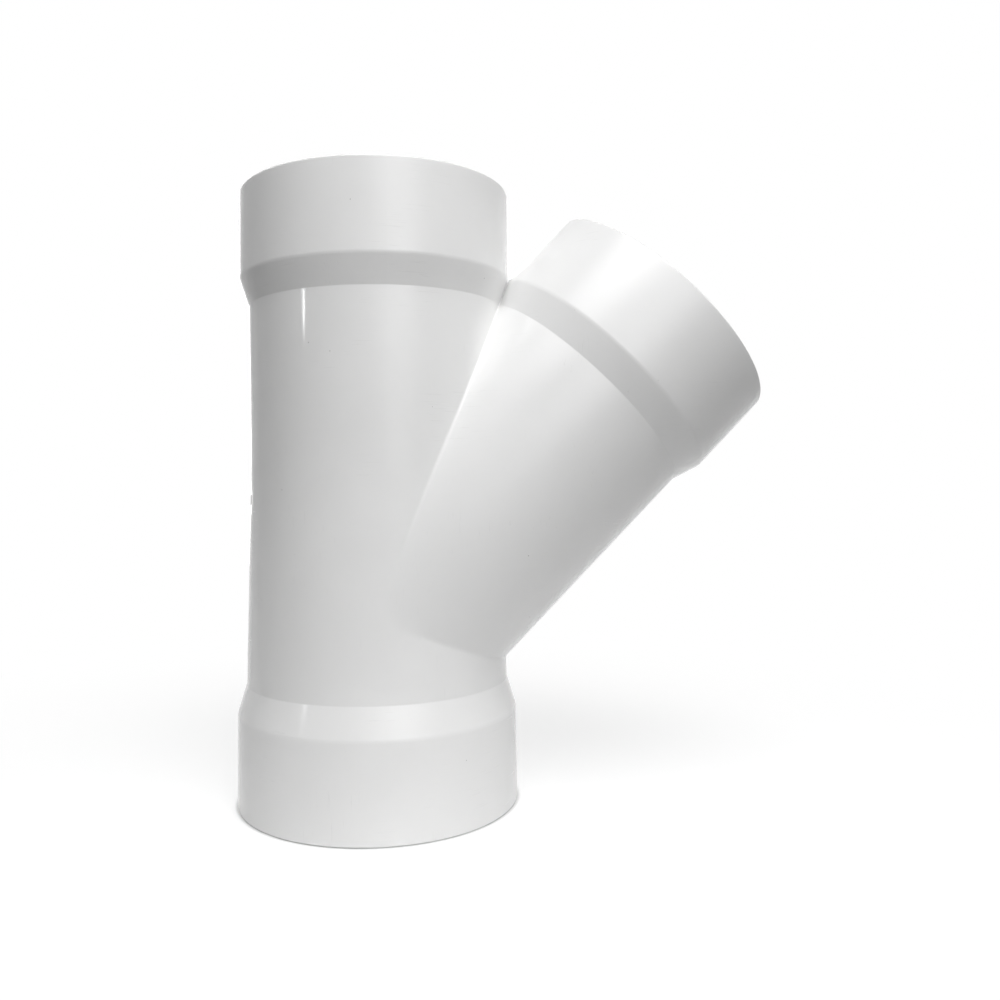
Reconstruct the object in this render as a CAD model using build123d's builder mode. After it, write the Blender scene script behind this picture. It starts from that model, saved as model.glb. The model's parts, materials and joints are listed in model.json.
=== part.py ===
from build123d import *
import os
from math import cos, radians, sin, tan

# A moulded rigid-PVC lateral wye: a straight run with a socket at each end, and a branch that
# leaves it at 45 degrees and ends in a third socket of the same size. It is one piece.
# Millimetres. The origin is the centre of the lower socket's mouth, +Z runs up the run's axis,
# and the branch climbs towards +X. Both axes lie in the XZ plane, where the mould's halves met.

# Sockets
pipe_diameter = 114.3  # outside diameter of the nominal 4 inch pipe that each socket takes
socket_clearance = 0.15  # between the pipe and the socket's wall, on the radius
socket_depth = 44.45  # from the mouth's face to the ledge that stops the pipe
lead_in = 1.0  # bevel inside each mouth

# Hubs: the thicker collars around the sockets
hub_wall = 6.3  # around the socket
hub_length = 40.9  # of the hub's straight outside
hub_taper_length = 12.9  # of the cone that brings the hub down to the body
shoulder_round = 6.0  # where the hub's outside turns into its cone
rim_bevel = 0.8  # around each mouth's outer edge

# Body: the waterways, and the draft that let their cores draw out
body_wall = 7.3  # around the waterways
run_bore_waist = 50.8  # radius of the run's waterway where its two cores met
run_draft = 0.95  # degrees, outwards from the waist both ways
waist_round = 1200.0  # of the soft turn from one draft to the other
branch_bore_root = 51.5  # radius of the branch's waterway at the crossing of the axes
branch_draft = 0.15  # degrees, outwards from the crossing
ledge_bevel = 0.8  # on the waterway's edge at each ledge
crease_round = 1.8  # along the crease between the run's outside and the branch's

# Lengths and angle, from the point where the two axes cross
lower_leg = 86.5  # down to the lower face
upper_leg = 192.6  # up to the upper face
branch_leg = 192.6  # along the branch to its face
waist_rise = 63.0  # up to the run's narrowest place
branch_angle = 45.0  # between the branch and the run's upper leg

# Gate, where the mould was filled: a shallow dish on the run's back, with a trimmed stub in it
gate_rise = 50.0  # above the crossing
gate_turn = 8.0  # degrees around the run from the plane of the axes
dish_length = 20.0  # along the run
dish_depth = 0.5
stub_diameter = 5.0
stub_height = 0.35  # above the dish's floor

# Worked out from the sizes above
socket_radius = pipe_diameter / 2 + socket_clearance
hub_radius = socket_radius + hub_wall
neck_depth = hub_length + hub_taper_length  # from each face to where its cone meets the body
run_length = lower_leg + upper_leg
waist_height = lower_leg + waist_rise
branch_direction = Vector(sin(radians(branch_angle)), 0, cos(radians(branch_angle)))

# Each mouth is a plane that looks into its socket.
lower_mouth = Plane(origin=(0, 0, 0), x_dir=(1, 0, 0), z_dir=(0, 0, 1))
upper_mouth = Plane(origin=(0, 0, run_length), x_dir=(1, 0, 0), z_dir=(0, 0, -1))
branch_mouth = Plane(
    origin=Vector(0, 0, lower_leg) + branch_direction * branch_leg,
    x_dir=(0, 1, 0),
    z_dir=-branch_direction,
)


def run_bore(height):
    """Radius of the run's waterway at a height above the lower face."""
    return run_bore_waist + abs(height - waist_height) * tan(radians(run_draft))


def branch_bore(depth):
    """Radius of the branch's waterway at a depth from the branch's face."""
    return branch_bore_root + (branch_leg - depth) * tan(radians(branch_draft))


# Each leg is a mouth, and the radius of its waterway at a depth from that mouth.
legs = [
    (lower_mouth, run_bore),
    (upper_mouth, lambda depth: run_bore(run_length - depth)),
    (branch_mouth, branch_bore),
]


def turn(mouth, points, rounds, mode=Mode.ADD):
    """Revolves an outline of (radius, depth) points, with a round at each, about a mouth's axis."""
    section = Plane(mouth.origin, x_dir=mouth.x_dir, z_dir=mouth.x_dir.cross(mouth.z_dir))
    with BuildSketch(section) as outline:
        with BuildLine():
            FilletPolyline(points, radius=rounds, close=True)
        make_face()
    revolve(outline.sketch, axis=Axis(mouth.origin, mouth.z_dir), mode=mode)


def run_tube(wall, mode):
    """The run's body, or with no wall its waterway, from face to face."""
    points = [
        (0, 0),
        (run_bore(0) + wall, 0),
        (run_bore_waist + wall, waist_height),
        (run_bore(run_length) + wall, run_length),
        (0, run_length),
    ]
    turn(lower_mouth, points, [0, 0, waist_round, 0, 0], mode)


def branch_tube(wall, mode):
    """The branch's body, or with no wall its waterway, from its face to the crossing."""
    points = [
        (0, 0),
        (branch_bore(0) + wall, 0),
        (branch_bore_root + wall, branch_leg),
        (0, branch_leg),
    ]
    turn(branch_mouth, points, [0, 0, 0, 0], mode)


def hub(mouth, bore):
    """A hub's outside: a bevelled rim, a straight collar, a soft shoulder and a cone.

    The cone runs on into the body's wall, so that it meets the body's surface at the neck.
    """
    neck_radius = bore(neck_depth) + body_wall
    slope = (hub_radius - neck_radius) / hub_taper_length
    sink = body_wall / 2
    points = [
        (0, 0),
        (hub_radius - rim_bevel, 0),
        (hub_radius, rim_bevel),
        (hub_radius, hub_length),
        (neck_radius - slope * sink, neck_depth + sink),
        (0, neck_depth + sink),
    ]
    turn(mouth, points, [0, 0, 0, shoulder_round, 0, 0])


def socket(mouth, bore):
    """Cuts a socket: a bevelled mouth, a straight wall, and a ledge with a bevelled inner edge."""
    past_ledge = socket_depth + ledge_bevel
    points = [
        (0, 0),
        (socket_radius + lead_in, 0),
        (socket_radius, lead_in),
        (socket_radius, socket_depth),
        (bore(past_ledge) + ledge_bevel, socket_depth),
        (bore(past_ledge), past_ledge),
        (0, past_ledge),
    ]
    turn(mouth, points, [0, 0, 0, 0, 0, 0, 0], Mode.SUBTRACT)


def gate():
    """Sinks the dish into the run's back and leaves the trimmed stub standing on its floor."""
    height = lower_leg + gate_rise
    outward = Vector(-cos(radians(gate_turn)), -sin(radians(gate_turn)), 0)
    floor = outward * (run_bore(height) + body_wall - dish_depth) + Vector(0, 0, height)
    dish_radius = (dish_length**2 / 4 + dish_depth**2) / (2 * dish_depth)
    with Locations(floor + outward * dish_radius):
        Sphere(dish_radius, mode=Mode.SUBTRACT)
    with BuildSketch(Plane(floor, z_dir=outward)) as stub:
        Circle(stub_diameter / 2)
    extrude(stub.sketch, amount=stub_height, both=True)


with BuildPart() as wye_body:
    # Outside: the two tubes, the blended crease between them, the three hubs and the gate.
    run_tube(body_wall, Mode.ADD)
    branch_tube(body_wall, Mode.ADD)
    crease = wye_body.edges().filter_by(GeomType.BSPLINE)
    fillet(crease, radius=crease_round)
    for mouth, bore in legs:
        hub(mouth, bore)
    gate()

    # Inside: the waterways that cross, and the three sockets.
    run_tube(0, Mode.SUBTRACT)
    branch_tube(0, Mode.SUBTRACT)
    for mouth, bore in legs:
        socket(mouth, bore)

wye_body.part.label = "wye_body"
os.makedirs("parts", exist_ok=True)
export_step(wye_body.part, "parts/wye_body.step")
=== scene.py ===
import json
from math import atan2, cos, hypot, pi, radians, sin, tan

import bmesh
import bpy
from bpy.props import FloatProperty, FloatVectorProperty, IntProperty, PointerProperty
from mathutils import Matrix, Vector


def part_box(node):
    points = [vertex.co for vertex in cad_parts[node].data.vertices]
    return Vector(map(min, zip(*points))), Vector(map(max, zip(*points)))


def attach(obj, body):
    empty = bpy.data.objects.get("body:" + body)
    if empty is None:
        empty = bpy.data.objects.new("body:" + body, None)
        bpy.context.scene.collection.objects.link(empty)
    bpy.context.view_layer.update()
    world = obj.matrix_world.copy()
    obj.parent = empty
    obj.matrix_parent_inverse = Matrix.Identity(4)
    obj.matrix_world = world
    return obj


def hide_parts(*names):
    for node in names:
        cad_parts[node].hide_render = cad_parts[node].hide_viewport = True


bl_info = {
    "name": "Lateral Wye Fitting",
    "version": (1, 0, 0),
    "blender": (4, 5, 0),
    "location": "3D Viewport > Sidebar > Wye",
    "description": "A moulded rigid-PVC drain wye with three solvent-weld sockets, and a studio for it",
    "category": "Object",
}

# The frame, and what its record says about the three sockets. Everything is in metres.
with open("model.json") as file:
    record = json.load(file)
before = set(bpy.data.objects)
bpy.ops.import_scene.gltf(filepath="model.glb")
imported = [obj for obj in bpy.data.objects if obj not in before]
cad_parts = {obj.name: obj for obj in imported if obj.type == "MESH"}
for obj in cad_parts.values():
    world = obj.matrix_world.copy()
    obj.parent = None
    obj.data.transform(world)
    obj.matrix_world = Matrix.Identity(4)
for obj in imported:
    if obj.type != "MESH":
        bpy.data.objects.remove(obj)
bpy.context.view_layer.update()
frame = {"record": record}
LEGS = ("upper", "lower", "branch")
MOUNTS = {mount["name"]: mount for mount in frame["record"]["mounts"]}
MOUTH = {leg: Vector(MOUNTS[leg + "_socket"]["pos_m"]) for leg in LEGS}
AXIS = {leg: Vector(MOUNTS[leg + "_socket"]["axis"]).normalized() for leg in MOUTH}
CROSSING = MOUTH["branch"] - AXIS["branch"] * (MOUTH["branch"].x / AXIS["branch"].x)
LENGTH = {leg: (MOUTH[leg] - CROSSING).length for leg in MOUTH}
SOCKET_RADIUS = MOUNTS["lower_socket"]["dims"]["r_mm"] / 1000
HUB_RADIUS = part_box("wye_body")[1].y


class WyeSizes(bpy.types.PropertyGroup):
    hub_length: FloatProperty(
        name="Hub Length", description="Straight outside of each hub",
        unit="LENGTH", min=0.01, default=0.0409)
    taper_length: FloatProperty(
        name="Taper Length", description="Cone that brings each hub down to the body",
        unit="LENGTH", min=0.001, default=0.0129)
    shoulder_round: FloatProperty(
        name="Shoulder Round", description="Where a hub turns into its cone",
        unit="LENGTH", min=0, default=0.006)
    neck_round: FloatProperty(
        name="Neck Round", description="Where the cone meets the body",
        unit="LENGTH", min=0, default=0.0015)
    rim_round: FloatProperty(
        name="Rim Round", description="Outer edge of each mouth",
        unit="LENGTH", min=0, default=0.0009)
    lead_in: FloatProperty(
        name="Lead-in", description="Bevel inside each mouth",
        unit="LENGTH", min=0, default=0.001)
    socket_depth: FloatProperty(
        name="Socket Depth", description="From the mouth to the ledge that stops the pipe",
        unit="LENGTH", min=0.01, default=0.04445)
    ledge_round: FloatProperty(
        name="Ledge Round", description="Inner edge of each ledge",
        unit="LENGTH", min=0, default=0.0008)
    body_wall: FloatProperty(
        name="Body Wall", description="Wall around the waterways",
        unit="LENGTH", min=0.001, default=0.0073)
    waist_bore: FloatProperty(
        name="Waist Bore", description="Radius of the run's waterway where its two cores met",
        unit="LENGTH", min=0.01, default=0.0508)
    waist_rise: FloatProperty(
        name="Waist Rise", description="From the crossing of the axes up to the waist",
        unit="LENGTH", default=0.063)
    waist_round: FloatProperty(
        name="Waist Round", description="Soft turn from one draft of the run to the other",
        unit="LENGTH", min=0, default=1.2)
    run_draft: FloatProperty(
        name="Run Draft", description="Draft of the run, outwards from its waist",
        unit="ROTATION", default=radians(0.95))
    branch_bore: FloatProperty(
        name="Branch Bore", description="Radius of the branch's waterway at the crossing",
        unit="LENGTH", min=0.01, default=0.0515)
    branch_draft: FloatProperty(
        name="Branch Draft", description="Draft of the branch, outwards from the crossing",
        unit="ROTATION", default=radians(0.15))
    crease_round: FloatProperty(
        name="Crease Round", description="Width of the blend each side of the crease outside",
        unit="LENGTH", min=0, default=0.0009)
    inner_crease_round: FloatProperty(
        name="Inner Crease Round", description="Width of the round each side of the crease inside",
        unit="LENGTH", min=0, default=0.0006)
    seam_height: FloatProperty(
        name="Seam Height", description="Witness line where the mould's halves met",
        unit="LENGTH", min=0, default=0.0001)
    seam_width: FloatProperty(
        name="Seam Width", description="Whole width of the witness line",
        unit="LENGTH", min=0.0001, default=0.0005)
    gate_rise: FloatProperty(
        name="Gate Rise", description="From the crossing up to the middle of the gate mark",
        unit="LENGTH", default=0.05)
    gate_turn: FloatProperty(
        name="Gate Turn", description="Angle of the gate mark around the run from the seam",
        unit="ROTATION", default=radians(8))
    dish_length: FloatProperty(
        name="Dish Length", description="Across the shallow dish around the gate",
        unit="LENGTH", min=0.001, default=0.02)
    dish_depth: FloatProperty(
        name="Dish Depth", description="Depth of the dish",
        unit="LENGTH", min=0, default=0.0005)
    stub_diameter: FloatProperty(
        name="Stub Diameter", description="Trimmed stub in the dish",
        unit="LENGTH", min=0.001, default=0.005)
    stub_height: FloatProperty(
        name="Stub Height", description="Height of the stub above the dish's floor",
        unit="LENGTH", min=0, default=0.00035)
    columns: IntProperty(
        name="Columns", description="Faces along a quarter of a turn of the branch",
        min=8, max=96, default=48)


class WyeFinish(bpy.types.PropertyGroup):
    color: FloatVectorProperty(
        name="Colour", description="Colour of the plastic",
        subtype="COLOR", size=3, min=0, max=1, default=(0.86, 0.86, 0.858))
    roughness: FloatProperty(
        name="Roughness", description="Roughness of the clean moulded surface",
        subtype="FACTOR", min=0.03, max=0.9, default=0.12)
    ripple: FloatProperty(
        name="Ripple", description="Height of the broad, shallow waves that the mould leaves",
        unit="LENGTH", min=0, default=0.00012)
    orange_peel: FloatProperty(
        name="Orange Peel", description="Height of the fine grain of the skin",
        unit="LENGTH", min=0, default=0.000004)
    scuffs: FloatProperty(
        name="Scuffs", description="How dark the hairline scuffs are",
        subtype="FACTOR", min=0, max=1, default=0.2)
    speck_density: FloatProperty(
        name="Speck Density", description="Cells to a metre, of which a few hold a dark speck",
        min=0, default=330)


class WyeStage(bpy.types.PropertyGroup):
    floor_color: FloatVectorProperty(
        name="Floor Colour", description="Colour of the floor, which lights the fitting from below",
        subtype="COLOR", size=3, min=0, max=1, default=(0.9, 0.9, 0.9))
    # Near the rim, the Ambient Occlusion node darkens this white share into a painted contact shadow.
    floor_white: FloatProperty(
        name="Floor White", description="Share of the floor's look that is plain, shadowless white",
        subtype="FACTOR", min=0, max=1, default=0.7)
    ambient: FloatProperty(
        name="Ambient", description="Soft light from all round, strongest from the right",
        min=0, default=0.05)
    top_power: FloatProperty(
        name="Top Power", description="Power of the soft box above the front",
        unit="POWER", min=0, default=42)
    front_power: FloatProperty(
        name="Front Power", description="Power of the soft box at the front right",
        unit="POWER", min=0, default=8)
    back_power: FloatProperty(
        name="Back Power", description="Power of the soft box behind, which lights the fitting's back",
        unit="POWER", min=0, default=32)
    window_power: FloatProperty(
        name="Window Power", description="Power of the narrow window at the left, which leaves a streak",
        unit="POWER", min=0, default=1.1)


# The body ---------------------------------------------------------------------------------

OUTSIDE, INSIDE = 0, 1
# Rows of faces along each leg's body.
BODY_ROWS = {"upper": 18, "lower": 9, "branch": 18}
# Rows are kept at least this far from a crease, so that its round has room.
CREASE_ROOM = 0.0016
CREASE_FACES = 3
# Near the crease's tips the two skins run into each other this softly, and need no round.
SOFT_CREASE = radians(14)
# Width of the sloping edge of the gate's stub.
STUB_EDGE = 0.0004
# Vertices this close are one: where two legs share a crease, and after the gate is refined.
CREASE_MERGE, LAST_MERGE = 0.000002, 0.00004
# Steps of the search for the place where the branch enters the run.
HALVINGS = 48


def run_bore(sizes, rise):
    """Radius of the run's waterway at a rise above the crossing."""
    away = abs(rise - sizes.waist_rise)
    slope = tan(sizes.run_draft)
    if away < sizes.waist_round * slope:
        lift = sizes.waist_round * (1 / cos(sizes.run_draft) - 1)
        return sizes.waist_bore + lift + away**2 / (2 * sizes.waist_round)
    return sizes.waist_bore + away * slope


def branch_bore(sizes, reach):
    """Radius of the branch's waterway at a reach from the crossing."""
    return sizes.branch_bore + reach * tan(sizes.branch_draft)


def mid_wall(sizes):
    """A distance from the run's axis that lies within its wall, all the way up."""
    return sizes.waist_bore + sizes.body_wall / 2


class Leg:
    """One leg, in its own frame: +Z runs out of its mouth, and +X looks at the leg it meets."""

    def __init__(self, name, sizes):
        self.name, self.sizes, self.length = name, sizes, LENGTH[name]
        axis = AXIS[name]
        side = Vector((1, 0, 0)) if name != "branch" else Vector((-axis.z, 0, axis.x))
        turned = Matrix((side, axis.cross(side), axis)).transposed().to_4x4()
        self.matrix = Matrix.Translation(CROSSING) @ turned
        section = self.section()
        rim = section.index(max(section))
        # Each skin as (distance from the crossing, radius), from the body towards the mouth.
        self.skins = (section[: rim + 1], section[:rim:-1])

    def bore(self, along):
        if self.name == "branch":
            return branch_bore(self.sizes, along)
        return run_bore(self.sizes, along if self.name == "upper" else -along)

    def section(self):
        """The leg's rounded section, from the neck over the rim to the ledge, as (distance, radius).

        Corners without a round hold the faces beside them straight.
        """
        sizes, mouth = self.sizes, self.length
        neck, shoulder = mouth - sizes.hub_length - sizes.taper_length, mouth - sizes.hub_length
        ledge = mouth - sizes.socket_depth
        wall, step = sizes.body_wall, 0.001
        corners = [  # distance from the crossing, radius, size of the round, faces in it
            (neck - step, self.bore(neck - step) + wall, 0, 0),
            (neck, self.bore(neck) + wall, sizes.neck_round, 3),
            (shoulder, HUB_RADIUS, sizes.shoulder_round, 4),
            (mouth - 3 * step, HUB_RADIUS, 0, 0),
            (mouth, HUB_RADIUS, sizes.rim_round, 5),
            (mouth, SOCKET_RADIUS + sizes.lead_in, sizes.lead_in / 2, 3),
            (mouth - sizes.lead_in, SOCKET_RADIUS, sizes.lead_in / 2, 3),
            (mouth - 3 * step, SOCKET_RADIUS, 0, 0),
            (ledge + 1.5 * step, SOCKET_RADIUS, 0, 0),
            (ledge, SOCKET_RADIUS, sizes.ledge_round / 2, 3),
            (ledge, self.bore(ledge), sizes.ledge_round, 4),
            (ledge - 2 * step, self.bore(ledge - 2 * step), 0, 0),
        ]
        bm = bmesh.new()
        line = [bm.verts.new((radius, 0, along)) for along, radius, _, _ in corners]
        for pair in zip(line, line[1:]):
            bm.edges.new(pair)
        for vert, (_, _, round_radius, faces) in zip(line, corners):
            if round_radius:
                before, after = ((edge.other_vert(vert).co - vert.co) for edge in vert.link_edges)
                reach = round_radius * tan((pi - before.angle(after)) / 2)
                bmesh.ops.bevel(bm, geom=[vert], offset=reach, offset_type="OFFSET", segments=faces,
                                profile=0.5, affect="VERTICES", material=-1, clamp_overlap=False)
        ends = [vert for vert in bm.verts if len(vert.link_edges) == 1]
        here = max(ends, key=lambda vert: vert.co.x)
        walked = [here]
        while len(walked) < len(bm.verts):
            here = next(other for other in (edge.other_vert(here) for edge in here.link_edges)
                        if other not in walked[-2:])
            walked.append(here)
        points = [(vert.co.z, vert.co.x) for vert in walked]
        bm.free()
        return points

    def radius(self, along, skin):
        """Radius of a skin at a distance from the crossing."""
        points = self.skins[skin]
        if skin == INSIDE or along <= points[0][0]:
            return self.bore(along) + (self.sizes.body_wall if skin == OUTSIDE else 0)
        for (low, low_radius), (high, high_radius) in zip(points, points[1:]):
            if along <= high:
                return low_radius + (high_radius - low_radius) * (along - low) / (high - low)
        return points[-1][1]

    def place(self, skin, row, root):
        """Distance and radius of a row in a column that starts at a root distance.

        The body's rows are spread between the root and the section. Rows that would lie too
        near the root close up onto it.
        """
        rows, points = BODY_ROWS[self.name], self.skins[skin]
        if row >= rows and points[row - rows][0] > root + CREASE_ROOM:
            return points[row - rows]
        along, room = root, points[0][0] - root
        if room > CREASE_ROOM:
            steps = min(rows, int(room / CREASE_ROOM))
            along = root + room * min(row / steps, 1)
        return along, self.radius(along, skin)


def meeting(run, branch, turn, skin):
    """Where the branch's line at a turn enters the run: its distance, and the point there."""
    upper, lower = run
    low, high = -HUB_RADIUS, branch.length
    for _ in range(HALVINGS):
        along = (low + high) / 2
        radius = branch.radius(along, skin)
        point = branch.matrix.to_3x3() @ Vector((radius * cos(turn), radius * sin(turn), along))
        leg = upper if point.z > 0 else lower
        if point.x > 0 and hypot(point.x, point.y) > leg.radius(abs(point.z), skin):
            high = along
        else:
            low = along
    return along, point


def lay_columns(run, branch, skin, sizes):
    """For each leg, the (turn, root distance) of its columns, all the way round."""
    count = sizes.columns
    half_seam = sizes.seam_width / 2 / HUB_RADIUS
    to_seam = [pi - half_seam, pi]
    turns = [0, half_seam] + [pi * i / (2 * count) for i in range(1, 2 * count)] + to_seam
    meetings = [meeting(run, branch, turn, skin) for turn in turns]
    # On the run, the crease starts and ends at the seam. Its tip, which reaches furthest round,
    # is near the branch's quarter turn.
    crease = [(atan2(abs(point.y), point.x), point.z) for _, point in meetings]
    tip = crease.index(max(crease[count - 4: count + 4]))
    tip_turn, tip_rise = crease[tip]
    back = [tip_turn + (pi - tip_turn) * i / (count + 2) for i in range(1, count + 2)] + to_seam
    past_tip = [(turn, tip_rise) for turn in back]
    halves = {
        "upper": crease[: tip + 1] + past_tip,
        "lower": [(turn, -rise) for turn, rise in crease[:tip - 1:-1] + past_tip],
        "branch": [(turn, along) for turn, (along, _) in zip(turns, meetings)],
    }
    # The other half is the mirror image, without the two columns in the seam.
    return {leg: half + [(-turn, root) for turn, root in half[-2:0:-1]]
            for leg, half in halves.items()}


def add_leg(bm, leg, columns):
    """Spins a leg's section into columns and rows, and slides each vertex to its place.

    Rows are numbered 1, 2, 3 up the outside and -1, -2, -3 up the inside. Until the creases
    are rounded, each face's material tells which leg it belongs to.
    """
    row_of = bm.verts.layers.int["row"]
    outside, inside = ([leg.place(skin, row, 0) for row in range(BODY_ROWS[leg.name] + len(points))]
                       for skin, points in zip((OUTSIDE, INSIDE), leg.skins))
    chain = list(enumerate(outside, 1)) + [(-row, point) for row, point in enumerate(inside, 1)][::-1]
    verts = []
    for row, (along, radius) in chain:
        vert = bm.verts.new((radius, 0, along))
        vert[row_of] = row
        verts.append(vert)
    edges = [bm.edges.new(pair) for pair in zip(verts, verts[1:])]
    total = len(columns[OUTSIDE])
    old_faces = set(bm.faces)
    bmesh.ops.spin(bm, geom=verts + edges, cent=(0, 0, 0), axis=(0, 0, 1), dvec=(0, 0, 0),
                   angle=2 * pi, steps=total, use_merge=True)
    faces = [face for face in bm.faces if face not in old_faces]
    for face in faces:
        face.material_index = LEGS.index(leg.name)
    verts = list({vert for face in faces for vert in face.verts})
    seam_columns, seam_end = (0, total // 2), leg.length - leg.sizes.rim_round
    for vert in verts:
        skin = OUTSIDE if vert[row_of] > 0 else INSIDE
        column = round(atan2(vert.co.y, vert.co.x) * total / (2 * pi)) % total
        turn, root = columns[skin][column]
        along, radius = leg.place(skin, abs(vert[row_of]) - 1, root)
        if skin == OUTSIDE and column in seam_columns and root + CREASE_ROOM < along < seam_end:
            radius += leg.sizes.seam_height
        vert.co = radius * cos(turn), radius * sin(turn), along
    bmesh.ops.transform(bm, matrix=leg.matrix, verts=verts)


def round_creases(bm, sizes):
    """Rounds the edges where the branch meets the run, outside and inside."""
    branch = LEGS.index("branch")
    creases = [edge for edge in bm.edges
               if len(legs := {face.material_index for face in edge.link_faces}) > 1
               and branch in legs and edge.calc_face_angle() > SOFT_CREASE]
    # The outer crease lies on the run's outside, and the inner one on its waterway.
    limit = mid_wall(sizes)
    for outside, width in ((True, sizes.crease_round), (False, sizes.inner_crease_round)):
        edges = [edge for edge in creases if edge.is_valid
                 and (hypot(edge.verts[0].co.x, edge.verts[0].co.y) > limit) == outside]
        bmesh.ops.bevel(bm, geom=edges, offset=width, offset_type="OFFSET", segments=CREASE_FACES,
                        profile=0.5, affect="EDGES", material=-1, clamp_overlap=False, loop_slide=True)


def mould_gate(bm, leg, sizes):
    """Refines the run's back around the gate, and shapes the dish and the trimmed stub there."""
    dish, stub = sizes.dish_length / 2, sizes.stub_diameter / 2
    turn = pi + sizes.gate_turn
    out = Vector((cos(turn), sin(turn), 0))
    middle = CROSSING + Vector((0, 0, sizes.gate_rise)) + out * leg.radius(sizes.gate_rise, OUTSIDE)
    limit = mid_wall(sizes)

    def near(vert, reach):
        """Whether a vertex of the outside is within reach of the gate's middle."""
        return (vert.co - middle).length < reach and hypot(vert.co.x, vert.co.y) > limit

    # Edges longer than the limit are cut, in ever smaller steps towards the stub.
    for reach, longest_left, cuts in (
        (dish + 0.008, 0.004, 3),
        (dish + 0.002, 0.0006, 3),
        (stub + 0.001, 0.0003, 2),
    ):
        edges = [edge for edge in bm.edges if edge.calc_length() > longest_left
                 and all(near(vert, reach) for vert in edge.verts)]
        bmesh.ops.subdivide_edges(bm, edges=edges, cuts=cuts, use_grid_fill=True)
    for vert in bm.verts:
        if near(vert, dish):
            away = (vert.co - middle).length
            radius = leg.radius(vert.co.z - CROSSING.z, OUTSIDE)
            radius -= sizes.dish_depth * (1 - (away / dish) ** 2)
            on_stub = min(max((stub - away) / STUB_EDGE + 0.5, 0), 1)
            radius += sizes.stub_height * on_stub**2 * (3 - 2 * on_stub)
            across = hypot(vert.co.x, vert.co.y)
            vert.co = vert.co.x * radius / across, vert.co.y * radius / across, vert.co.z


# The plastic ------------------------------------------------------------------------------

PVC_IOR = 1.53
SCUFF_COLOR = (0.42, 0.42, 0.41, 1)
SPECK_COLOR = (0.2, 0.19, 0.18, 1)
SPECK_STRENGTH = 0.6
SPECK_CHOICE = (0.982, 0.986)  # a cell's random number must be above these to hold a speck
CLOUD_TINTS = (0.98, 1.012)
ROUGHNESS_SPREAD = (-0.03, 0.05)  # from untouched to handled places, around the clean surface
SCUFF_ROUGHNESS = 0.25
SCUFF_DEPTH = 0.00001
CORE_LINE_HEIGHT, CORE_LINE_WIDTH = 0.00008, (0.0001, 0.0004)
# Scales of the noises, in features to a metre, and for the hairlines along each axis.
CLOUDS, HANDLING, PATCHES, RIPPLES, PEEL = 16, 45, 30, 24, 700
ACROSS, UPRIGHT = (60, 60, 2200), (1400, 1400, 90)


def add_node(tree, kind, inputs=None, **settings):
    """A new node with its settings, and its inputs as constants or as links from other sockets."""
    node = tree.nodes.new(kind)
    for name, value in settings.items():
        setattr(node, name, value)
    for name, value in (inputs or {}).items():
        if isinstance(value, bpy.types.NodeSocket):
            tree.links.new(value, node.inputs[name])
        else:
            node.inputs[name].default_value = value
    return node


def ramp(tree, value, low, high, to_low=0.0, to_high=1.0):
    """A value that runs smoothly from one level to another between two limits."""
    node = add_node(tree, "ShaderNodeMapRange", {
        "Value": value, "From Min": low, "From Max": high, "To Min": to_low, "To Max": to_high,
    }, interpolation_type="SMOOTHSTEP")
    return node.outputs["Result"]


def calculate(tree, operation, *values):
    """The result of an operation on values, each a number or another node's socket."""
    node = add_node(tree, "ShaderNodeMath", dict(enumerate(values)), operation=operation)
    return node.outputs["Value"]


def blend(tree, share, base, top):
    """A colour that goes from a base to the one on top, by a share from 0 to 1."""
    # These are the numbers of the Mix node's sockets for colours.
    return add_node(tree, "ShaderNodeMix", {0: share, 6: base, 7: top}, data_type="RGBA").outputs[2]


def noise(tree, place, scale, detail=2.0, turn=(0, 0, 0), stretch=(1, 1, 1)):
    """Noise over the object, with features about 1 / scale long, turned and then stretched."""
    mapping = add_node(tree, "ShaderNodeMapping", {"Vector": place, "Rotation": turn, "Scale": stretch})
    cloud = add_node(tree, "ShaderNodeTexNoise", {
        "Vector": mapping.outputs["Vector"], "Scale": scale, "Detail": detail,
    })
    return cloud.outputs["Fac"]


def hairline_scuffs(tree, place):
    """Scuffs from handling, from 0 to 1: short hairlines along and across, in a few patches.

    Noise keeps near 0.5, so the further from it a pair of limits lies, the less of it shows.
    """
    across = ramp(tree, noise(tree, place, 1, 3, (0.15, -0.1, 0), ACROSS), 0.62, 0.72)
    upright = ramp(tree, noise(tree, place, 1, 3, (0.5, 0.35, 0), UPRIGHT), 0.64, 0.74)
    patches = noise(tree, place, PATCHES, 3)
    across = calculate(tree, "MULTIPLY", across, ramp(tree, patches, 0.54, 0.66))
    upright = calculate(tree, "MULTIPLY", upright, ramp(tree, patches, 0.34, 0.46, 1, 0))
    return calculate(tree, "MAXIMUM", across, upright)


def dark_specks(tree, place, density):
    """Specks, from 0 to 1: a small dot in the middle of one cell out of many."""
    cells = add_node(tree, "ShaderNodeTexVoronoi", {"Vector": place, "Scale": density}).outputs
    dot = ramp(tree, cells["Distance"], 0.05, 0.1, 1, 0)
    draw = add_node(tree, "ShaderNodeSeparateColor", {"Color": cells["Color"]}).outputs["Red"]
    return calculate(tree, "MULTIPLY", dot, ramp(tree, draw, *SPECK_CHOICE))


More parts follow.
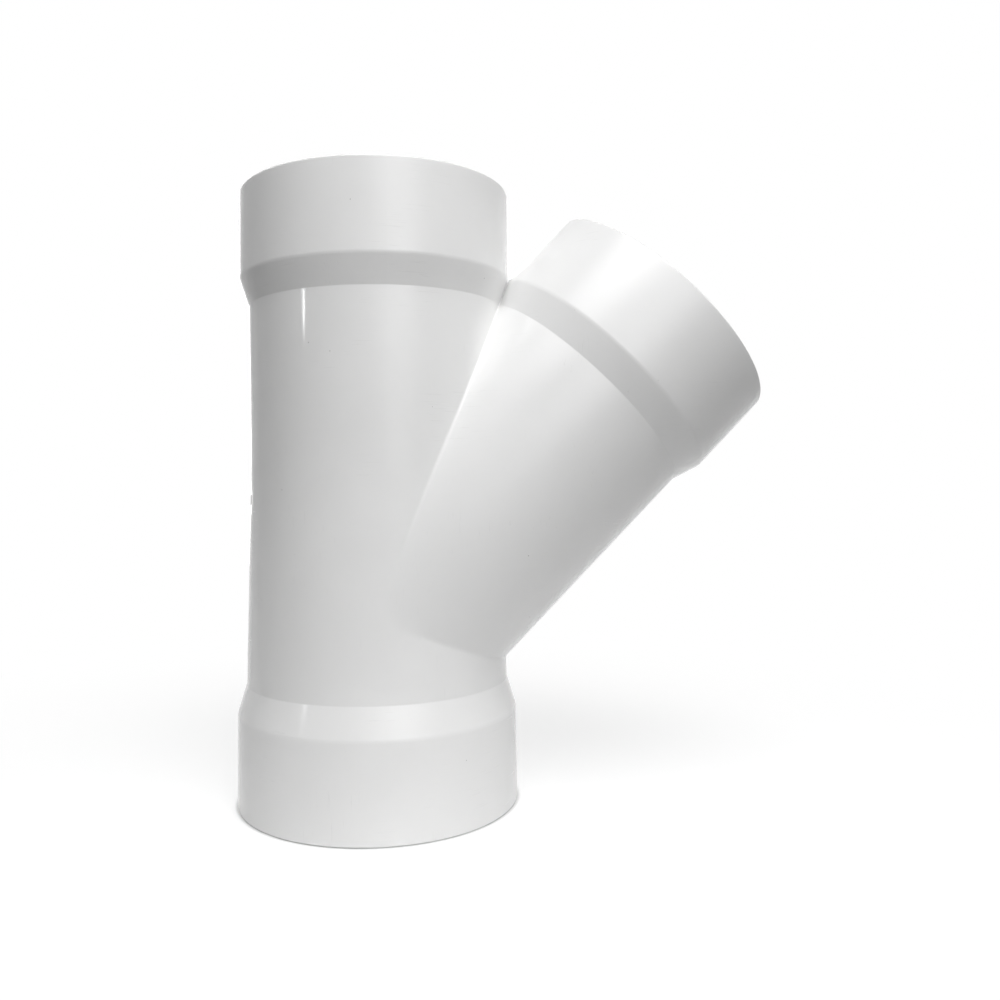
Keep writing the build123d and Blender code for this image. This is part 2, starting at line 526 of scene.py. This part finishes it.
def core_line(tree, place, sizes):
    """The ring inside the run where the two cores met, from 0 to 1."""
    parts = add_node(tree, "ShaderNodeSeparateXYZ", {"Vector": place}).outputs
    x, y, z = parts["X"], parts["Y"], parts["Z"]
    squares = (calculate(tree, "MULTIPLY", value, value) for value in (x, y))
    off_axis = calculate(tree, "SQRT", calculate(tree, "ADD", *squares))
    inside = calculate(tree, "LESS_THAN", off_axis, mid_wall(sizes))
    from_waist = calculate(tree, "SUBTRACT", z, CROSSING.z + sizes.waist_rise)
    ring = ramp(tree, calculate(tree, "ABSOLUTE", from_waist), *CORE_LINE_WIDTH, 1, 0)
    return calculate(tree, "MULTIPLY", ring, inside)


def pvc_material(finish, sizes):
    """Gloss PVC: clouds, specks, hairline scuffs, uneven gloss, mould ripple and orange peel."""
    material = bpy.data.materials.new("pvc_gloss")
    material.use_nodes = True
    tree = material.node_tree
    shader = tree.nodes["Principled BSDF"]
    shader.inputs["IOR"].default_value = PVC_IOR
    place = add_node(tree, "ShaderNodeTexCoord").outputs["Object"]
    scuffs = hairline_scuffs(tree, place)
    specks = dark_specks(tree, place, finish.speck_density)

    deep, pale = ((*(tint * channel for channel in finish.color), 1) for tint in CLOUD_TINTS)
    color = blend(tree, ramp(tree, noise(tree, place, CLOUDS, 4), 0.35, 0.65), deep, pale)
    color = blend(tree, calculate(tree, "MULTIPLY", scuffs, finish.scuffs), color, SCUFF_COLOR)
    color = blend(tree, calculate(tree, "MULTIPLY", specks, SPECK_STRENGTH), color, SPECK_COLOR)
    tree.links.new(color, shader.inputs["Base Color"])

    smooth, dull = (finish.roughness + change for change in ROUGHNESS_SPREAD)
    handled = ramp(tree, noise(tree, place, HANDLING, 5), 0.35, 0.7, smooth, dull)
    rough = calculate(tree, "ADD", handled, calculate(tree, "MULTIPLY", scuffs, SCUFF_ROUGHNESS))
    tree.links.new(rough, shader.inputs["Roughness"])

    normal = None
    for height, distance in (
        (noise(tree, place, RIPPLES), finish.ripple),
        (noise(tree, place, PEEL), finish.orange_peel),
        (core_line(tree, place, sizes), CORE_LINE_HEIGHT),
        (calculate(tree, "SUBTRACT", 1, scuffs), SCUFF_DEPTH),
    ):
        bump = add_node(tree, "ShaderNodeBump", {"Strength": 1, "Distance": distance, "Height": height})
        if normal:
            tree.links.new(normal, bump.inputs["Normal"])
        normal = bump.outputs["Normal"]
    tree.links.new(normal, shader.inputs["Normal"])
    return material


class WYE_OT_body(bpy.types.Operator):
    """Moulds the fitting in one piece, with its sockets, rounded creases, seam and gate mark"""
    bl_idname = "wye.body"
    bl_label = "Moulded Body"

    def execute(self, context):
        sizes = context.scene.wye_sizes
        upper, lower, branch = (Leg(name, sizes) for name in LEGS)
        laid = [lay_columns((upper, lower), branch, skin, sizes) for skin in (OUTSIDE, INSIDE)]
        bm = bmesh.new()
        bm.verts.layers.int.new("row")
        for leg in (upper, lower, branch):
            add_leg(bm, leg, [columns[leg.name] for columns in laid])
        bmesh.ops.remove_doubles(bm, verts=bm.verts, dist=CREASE_MERGE)
        bmesh.ops.recalc_face_normals(bm, faces=bm.faces)
        round_creases(bm, sizes)
        mould_gate(bm, upper, sizes)
        bmesh.ops.remove_doubles(bm, verts=bm.verts, dist=LAST_MERGE)
        for face in bm.faces:
            face.material_index = 0
            face.smooth = True
        mesh = bpy.data.meshes.new("wye_moulding")
        bm.to_mesh(mesh)
        bm.free()
        mesh.materials.append(pvc_material(context.scene.wye_finish, sizes))
        body = bpy.data.objects.new("wye_moulding", mesh)
        context.scene.collection.objects.link(body)
        # Large faces keep their own shading right up to the small rounds beside them.
        shading = body.modifiers.new("shading", "WEIGHTED_NORMAL")
        shading.weight = 80
        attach(body, "root")
        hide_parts("wye_body")
        return {"FINISHED"}


# The stage --------------------------------------------------------------------------------

# The camera's place from the crossing of the axes, in hub radii, and its turns.
CAMERA_PLACE = (0.1008, -6.76, 0.8746)
CAMERA_YAW, CAMERA_PITCH, CAMERA_ROLL = -0.0753, 0.0655, -0.0138
CAMERA_LENS, CAMERA_SENSOR = 32.54, 36
CAMERA_SHIFT = (0.0418, -0.0747)

FLOOR_RADIUS = 5
# The floor lights the fitting from a pool around it, and is nearly black beyond.
POOL, PAST_POOL = (0.12, 0.4), 0.05
# Its look fades from shaded to plain white over these distances from the origin.
WHITE_FADE = (0.12, 0.42)
# Makes the floor's shaded part bright enough for open floor to come out white.
SHADED_GAIN = 1.3
# The white part takes a painted contact shadow, from the Ambient Occlusion node, only this close to the
# rim that stands on it.
PAINTED_SHADOW_REACH = 0.002


def lamp(name, power, size, place, aim):
    """A soft box at a place, turned to its aim, that fades towards its edges."""
    data = bpy.data.lights.new(name, "AREA")
    data.shape = "RECTANGLE"
    data.size, data.size_y = size
    data.energy = power
    data.use_nodes = True
    tree = data.node_tree
    across = add_node(tree, "ShaderNodeNewGeometry").outputs["Parametric"]
    middle = (0.5, 0.5, 0)
    away = add_node(tree, "ShaderNodeVectorMath", {0: across, 1: middle}, operation="DISTANCE")
    strength = ramp(tree, away.outputs["Value"], 0, 0.5, 1, 0)
    tree.links.new(strength, tree.nodes["Emission"].inputs["Strength"])
    box = bpy.data.objects.new(name, data)
    box.location = place
    box.rotation_euler = (Vector(aim) - box.location).to_track_quat("-Z", "Y").to_euler()
    bpy.context.scene.collection.objects.link(box)


def place_camera(scene):
    """A camera a little above the fitting's middle, close enough for its perspective to show."""
    data = bpy.data.cameras.new("camera")
    data.sensor_width = CAMERA_SENSOR
    data.lens = CAMERA_LENS
    data.shift_x, data.shift_y = CAMERA_SHIFT
    data.clip_start = 0.01
    camera = bpy.data.objects.new("camera", data)
    camera.matrix_world = (
        Matrix.Translation(CROSSING + HUB_RADIUS * Vector(CAMERA_PLACE))
        @ Matrix.Rotation(CAMERA_YAW, 4, "Z")
        @ Matrix.Rotation(pi / 2 + CAMERA_PITCH, 4, "X")
        @ Matrix.Rotation(CAMERA_ROLL, 4, "Z")
    )
    scene.collection.objects.link(camera)
    scene.camera = camera


def seen_directly(tree):
    """1 for what is seen straight, mirrored or through glass, and 0 for what only gives light."""
    path = add_node(tree, "ShaderNodeLightPath").outputs
    mirrored = calculate(tree, "MAXIMUM", path["Is Glossy Ray"], path["Is Transmission Ray"])
    return calculate(tree, "MAXIMUM", path["Is Camera Ray"], mirrored)


def floor_material(settings):
    """Pale floor that takes the fitting's shadow, with a painted contact shadow at the rim, and fades to
    plain white further out.
    """
    material = bpy.data.materials.new("floor")
    material.use_nodes = True
    tree = material.node_tree
    tree.nodes.remove(tree.nodes["Principled BSDF"])
    place = add_node(tree, "ShaderNodeTexCoord").outputs["Object"]
    away = add_node(tree, "ShaderNodeVectorMath", {0: place}, operation="LENGTH").outputs["Value"]
    near, far = ((*(share * channel for channel in settings.floor_color), 1)
                 for share in (1, PAST_POOL))
    lit_color = blend(tree, ramp(tree, away, *POOL), near, far)
    lighting = add_node(tree, "ShaderNodeBsdfDiffuse", {"Color": lit_color}).outputs[0]

    gray = SHADED_GAIN * (1 - settings.floor_white)
    shaded = add_node(tree, "ShaderNodeBsdfDiffuse", {"Color": (gray, gray, gray, 1)}).outputs[0]
    # Painted contact shadow: the Ambient Occlusion node darkens the floor's white glow next to the rim.
    painted_contact_shadow = add_node(tree, "ShaderNodeAmbientOcclusion", {"Distance": PAINTED_SHADOW_REACH}).outputs["AO"]
    glow_with_painted_shadow = calculate(tree, "MULTIPLY", painted_contact_shadow, settings.floor_white)
    glow = add_node(tree, "ShaderNodeEmission", {"Strength": glow_with_painted_shadow}).outputs[0]
    close = add_node(tree, "ShaderNodeAddShader", {0: shaded, 1: glow}).outputs[0]
    white = add_node(tree, "ShaderNodeEmission", {"Strength": 1}).outputs[0]
    fade = ramp(tree, away, *WHITE_FADE)
    looks = add_node(tree, "ShaderNodeMixShader", {0: fade, 1: close, 2: white}).outputs[0]
    seen = seen_directly(tree)
    mixed = add_node(tree, "ShaderNodeMixShader", {0: seen, 1: lighting, 2: looks}).outputs[0]
    tree.links.new(mixed, tree.nodes["Material Output"].inputs["Surface"])
    return material


def white_world(settings):
    """White to look at, with a soft light that grows from none at the left to most at the right."""
    world = bpy.data.worlds.new("studio")
    world.use_nodes = True
    tree = world.node_tree
    background = tree.nodes["Background"]
    background.inputs["Color"].default_value = (1, 1, 1, 1)
    direction = add_node(tree, "ShaderNodeTexCoord").outputs["Generated"]
    rightward = add_node(tree, "ShaderNodeSeparateXYZ", {"Vector": direction}).outputs["X"]
    light = calculate(tree, "MULTIPLY_ADD", rightward, settings.ambient, settings.ambient)
    strength = ramp(tree, seen_directly(tree), 0, 1, light, 1)
    tree.links.new(strength, background.inputs["Strength"])
    return world


class WYE_OT_stage(bpy.types.Operator):
    """Lays the floor and sets the lamps, the world and the camera"""
    bl_idname = "wye.stage"
    bl_label = "Stage"

    def execute(self, context):
        scene, settings = context.scene, context.scene.wye_stage
        bm = bmesh.new()
        bmesh.ops.create_circle(bm, cap_ends=True, segments=96, radius=FLOOR_RADIUS)
        mesh = bpy.data.meshes.new("floor")
        bm.to_mesh(mesh)
        bm.free()
        mesh.materials.append(floor_material(settings))
        floor = bpy.data.objects.new("floor", mesh)
        scene.collection.objects.link(floor)
        scene.world = white_world(settings)
        scene.view_settings.view_transform = "Standard"
        middle, left_side = (0.05, 0, 0.14), (-0.02, 0, 0.17)
        for name, power, size, place, aim in (
            ("top_box", settings.top_power, (1.35, 1.35), (0.1, -0.52, 1.0), middle),
            ("front_box", settings.front_power, (1.1, 1.1), (0.3, -0.9, 0.48), middle),
            ("back_box", settings.back_power, (1.2, 1.2), (-0.1, 1.2, 0.4), middle),
            ("window", settings.window_power, (0.05, 0.14), (-1.27, -0.65, 0.455), left_side),
        ):
            lamp(name, power, size, place, aim)
        place_camera(scene)
        return {"FINISHED"}


class WYE_PT_panel(bpy.types.Panel):
    bl_label = "Lateral Wye Fitting"
    bl_space_type = "VIEW_3D"
    bl_region_type = "UI"
    bl_category = "Wye"

    def draw(self, context):
        for operator, settings in (
            ("wye.body", (context.scene.wye_sizes, context.scene.wye_finish)),
            ("wye.stage", (context.scene.wye_stage,)),
        ):
            self.layout.operator(operator)
            for group in settings:
                for name in group.__annotations__:
                    self.layout.prop(group, name)


CLASSES = (WyeSizes, WyeFinish, WyeStage, WYE_OT_body, WYE_OT_stage, WYE_PT_panel)


def register():
    for cls in CLASSES:
        bpy.utils.register_class(cls)
    bpy.types.Scene.wye_sizes = PointerProperty(type=WyeSizes)
    bpy.types.Scene.wye_finish = PointerProperty(type=WyeFinish)
    bpy.types.Scene.wye_stage = PointerProperty(type=WyeStage)


def unregister():
    del bpy.types.Scene.wye_stage
    del bpy.types.Scene.wye_finish
    del bpy.types.Scene.wye_sizes
    for cls in reversed(CLASSES):
        bpy.utils.unregister_class(cls)


def main():
    register()
    bpy.ops.wye.body()
    bpy.ops.wye.stage()


if __name__ == "__main__":
    main()
